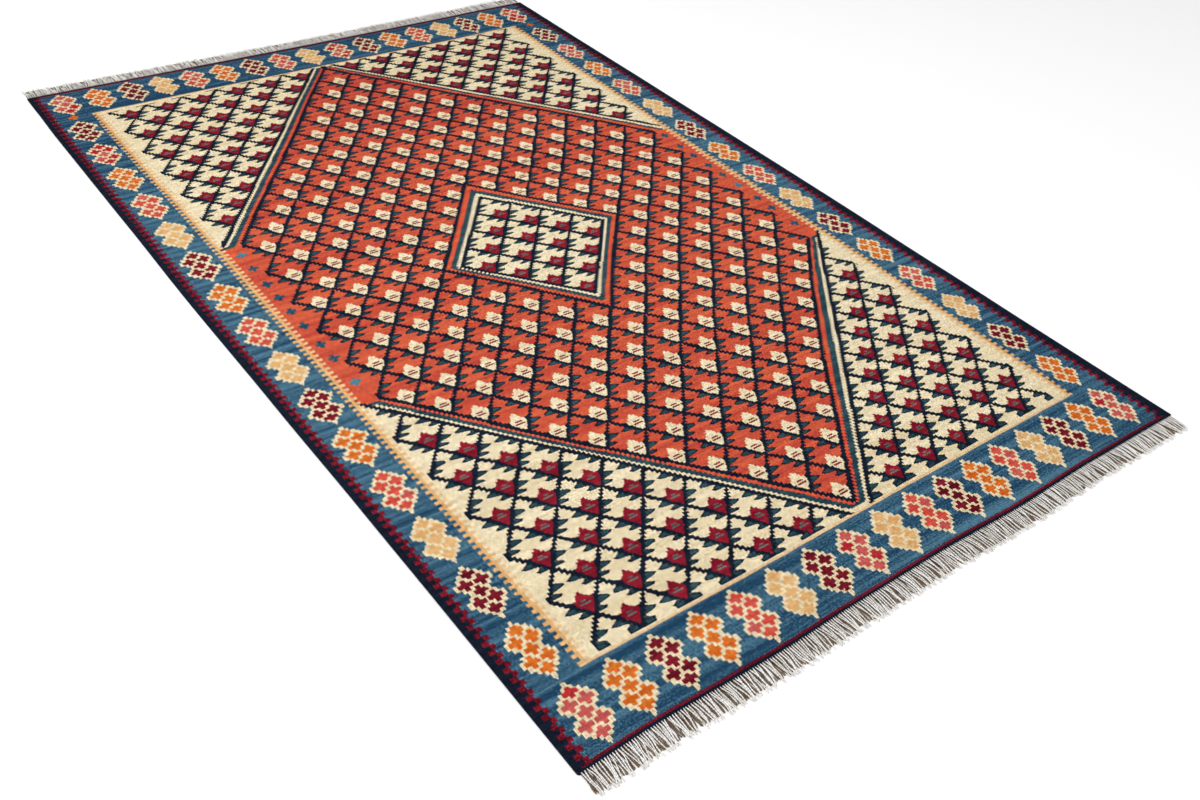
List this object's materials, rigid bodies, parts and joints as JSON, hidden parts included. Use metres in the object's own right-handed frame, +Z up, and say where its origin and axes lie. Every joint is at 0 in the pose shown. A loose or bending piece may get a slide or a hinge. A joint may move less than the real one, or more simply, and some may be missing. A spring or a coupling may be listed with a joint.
{
  "type": "flat-woven kilim rug",
  "caption": "Rectangular flat-woven kilim rug lying flat, with a short warp fringe along each end, for covering a floor.",
  "frame": {"origin": "middle of the underside of the whole rug with its fringes, on the floor", "axes": "+X across the rug, +Y along the rug towards the end that the woven flowers point to, +Z up from the floor"},
  "size_m": [1.614, 2.6, 0.003],
  "materials": {
    "woven_wool": "hand-woven wool flat weave with fine warp ribs; blue border, red and cream patterned field",
    "cotton_fringe": "undyed off-white cotton warp ends, matt"
  },
  "bodies": {
    "root": {"woven_cloth": "woven_wool", "near_fringe": "cotton_fringe", "far_fringe": "cotton_fringe"}
  },
  "joints": []
}
